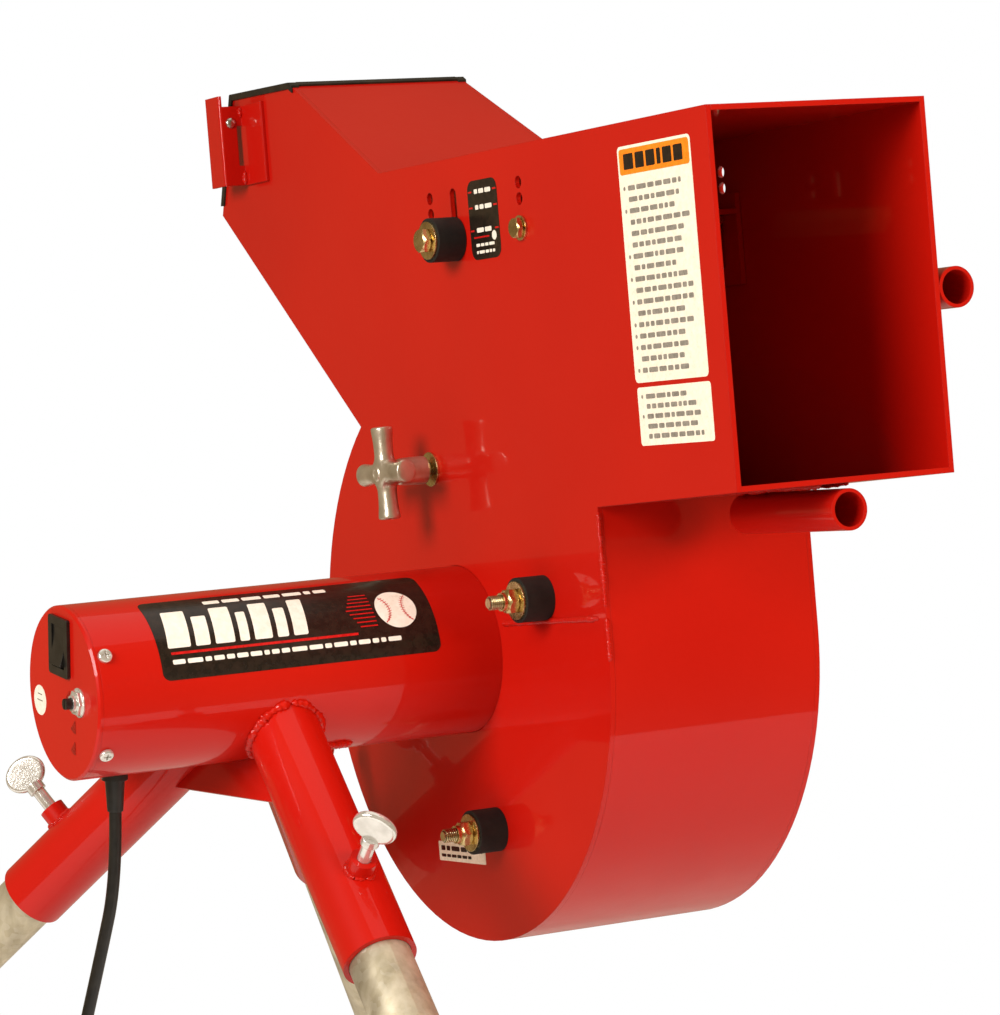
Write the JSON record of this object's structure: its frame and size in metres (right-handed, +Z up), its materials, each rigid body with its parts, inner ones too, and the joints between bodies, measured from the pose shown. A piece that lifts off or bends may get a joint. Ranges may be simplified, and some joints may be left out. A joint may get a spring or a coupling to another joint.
{
  "type": "baseball pitching machine",
  "caption": "Single-wheel baseball pitching machine: drum head with muzzle, feed hopper and pad, motor housing with controls, telescoping tripod and mains cord.",
  "frame": {"origin": "on the ground under the middle of the machine's outer box, cord left out", "axes": "+Z up, the muzzle points to -Y and up 9.74 degrees, +X runs along the wheel's axle away from the motor"},
  "size_m": [0.9483, 1.6271, 1.031],
  "materials": {
    "motor_housing": "gloss",
    "pivot_flange": "gloss",
    "end_cap": "gloss",
    "end_cap_screws": "gloss",
    "switch_bezel": "gloss",
    "speed_control": "gloss",
    "control_board": "matte",
    "motor_can": "satin",
    "motor_magnets": "matte",
    "motor_front_bell": "satin",
    "motor_rear_bell": "satin",
    "motor_bearings": "satin",
    "strain_relief": "satin",
    "clamp_bosses": "gloss",
    "socket_gussets": "gloss",
    "front_socket": "gloss",
    "left_socket": "gloss",
    "right_socket": "gloss",
    "cord": "satin",
    "cord_coil": "satin",
    "cord_plug": "satin",
    "near_side_plate": "gloss",
    "far_side_plate": "gloss",
    "drum_band": "gloss",
    "muzzle_roof": "gloss",
    "hopper_front_wall": "gloss",
    "hopper_far_side": "gloss",
    "feed_ramp": "gloss",
    "hopper_edge_trim": "satin",
    "feeder_bracket": "gloss",
    "side_accessory_tube": "gloss",
    "lower_accessory_tube": "gloss",
    "pivot_studs": "satin",
    "pivot_rubbers": "satin",
    "plate_washers": "satin",
    "pivot_nuts": "satin",
    "pad_bolts": "satin",
    "pad_carriage": "satin",
    "pressure_pad": "satin",
    "guide_bolts": "satin",
    "guide_rubbers": "satin",
    "guide_washers": "satin",
    "tyre": "matte",
    "wheel_rim": "satin",
    "wheel_hub": "satin",
    "motor_shaft": "satin",
    "motor_armature": "satin",
    "pitch_knob": "gloss",
    "rocker_button": "gloss",
    "speed_dial": "gloss",
    "front_leg_tube": "satin",
    "front_foot": "satin",
    "front_clamp_screw": "gloss",
    "left_leg_tube": "satin",
    "left_foot": "satin",
    "left_clamp_screw": "gloss",
    "right_leg_tube": "satin",
    "right_foot": "satin",
    "right_clamp_screw": "gloss"
  },
  "bodies": {
    "base": {"motor_housing": "motor_housing", "pivot_flange": "pivot_flange", "end_cap": "end_cap", "end_cap_screws": "end_cap_screws", "switch_bezel": "switch_bezel", "speed_control": "speed_control", "control_board": "control_board", "motor_can": "motor_can", "motor_magnets": "motor_magnets", "motor_front_bell": "motor_front_bell", "motor_rear_bell": "motor_rear_bell", "motor_bearings": "motor_bearings", "strain_relief": "strain_relief", "clamp_bosses": "clamp_bosses", "socket_gussets": "socket_gussets", "front_socket": "front_socket", "left_socket": "left_socket", "right_socket": "right_socket", "cord": "cord", "cord_coil": "cord_coil", "cord_plug": "cord_plug"},
    "head": {"near_side_plate": "near_side_plate", "far_side_plate": "far_side_plate", "drum_band": "drum_band", "muzzle_roof": "muzzle_roof", "hopper_front_wall": "hopper_front_wall", "hopper_far_side": "hopper_far_side", "feed_ramp": "feed_ramp", "hopper_edge_trim": "hopper_edge_trim", "feeder_bracket": "feeder_bracket", "side_accessory_tube": "side_accessory_tube", "lower_accessory_tube": "lower_accessory_tube", "pivot_studs": "pivot_studs", "pivot_rubbers": "pivot_rubbers", "plate_washers": "plate_washers", "pivot_nuts": "pivot_nuts", "pad_bolts": "pad_bolts"},
    "pad": {"pad_carriage": "pad_carriage", "pressure_pad": "pressure_pad", "guide_bolts": "guide_bolts", "guide_rubbers": "guide_rubbers", "guide_washers": "guide_washers"},
    "wheel": {"tyre": "tyre", "wheel_rim": "wheel_rim", "wheel_hub": "wheel_hub", "motor_shaft": "motor_shaft", "motor_armature": "motor_armature"},
    "pitch_knob": {"pitch_knob": "pitch_knob"},
    "power_rocker": {"rocker_button": "rocker_button"},
    "speed_dial": {"speed_dial": "speed_dial"},
    "front_leg": {"front_leg_tube": "front_leg_tube", "front_foot": "front_foot"},
    "front_clamp": {"front_clamp_screw": "front_clamp_screw"},
    "left_leg": {"left_leg_tube": "left_leg_tube", "left_foot": "left_foot"},
    "left_clamp": {"left_clamp_screw": "left_clamp_screw"},
    "right_leg": {"right_leg_tube": "right_leg_tube", "right_foot": "right_foot"},
    "right_clamp": {"right_clamp_screw": "right_clamp_screw"}
  },
  "joints": [
    {"name": "head_tilt", "type": "hinge", "parent": "base", "child": "head", "pos_m": [0.1686, 0.1883, 0.7], "axis": [-1, 0, 0], "range_deg": [-19.5, 35]},
    {"name": "wheel_spin", "type": "hinge", "parent": "base", "child": "wheel", "pos_m": [0.1686, 0.1883, 0.7], "axis": [-1, 0, 0], "continuous": true},
    {"name": "pad_height", "type": "slide", "parent": "head", "child": "pad", "axis": [0, 0.1692, 0.9856], "range_m": [0, 0.0254]},
    {"name": "pitch_knob_turn", "type": "hinge", "parent": "head", "child": "pitch_knob", "pos_m": [0.0886, 0.22444, 0.80071], "axis": [-1, 0, 0], "range_deg": [0, 360]},
    {"name": "power_rocker_tip", "type": "hinge", "parent": "base", "child": "power_rocker", "pos_m": [-0.1474, 0.1905, 0.7261], "axis": [0, -1, 0], "range_deg": [0, 16]},
    {"name": "speed_dial_turn", "type": "hinge", "parent": "base", "child": "speed_dial", "pos_m": [-0.1514, 0.1661, 0.6989], "axis": [1, 0, 0], "range_deg": [0, 280]},
    {"name": "front_leg_slide", "type": "slide", "parent": "base", "child": "front_leg", "axis": [-0.0564, -0.807, -0.5878], "range_m": [-0.025, 0.06]},
    {"name": "front_clamp_turn", "type": "hinge", "parent": "base", "child": "front_clamp", "pos_m": [-0.04094, 0.03755, 0.62729], "axis": [-0.041, -0.5864, 0.809], "range_deg": [0, 360]},
    {"name": "left_leg_slide", "type": "slide", "parent": "base", "child": "left_leg", "axis": [-0.4126, 0.5892, -0.6947], "range_m": [-0.025, 0.06]},
    {"name": "left_clamp_turn", "type": "hinge", "parent": "base", "child": "left_clamp", "pos_m": [-0.11043, 0.3026, 0.60696], "axis": [-0.3984, 0.569, 0.7193], "range_deg": [0, 360]},
    {"name": "right_leg_slide", "type": "slide", "parent": "base", "child": "right_leg", "axis": [0.4719, 0.5429, -0.6947], "range_m": [-0.025, 0.06]},
    {"name": "right_clamp_turn", "type": "hinge", "parent": "base", "child": "right_clamp", "pos_m": [0.06114, 0.29361, 0.60696], "axis": [0.4557, 0.5243, 0.7193], "range_deg": [0, 360]}
  ]
}
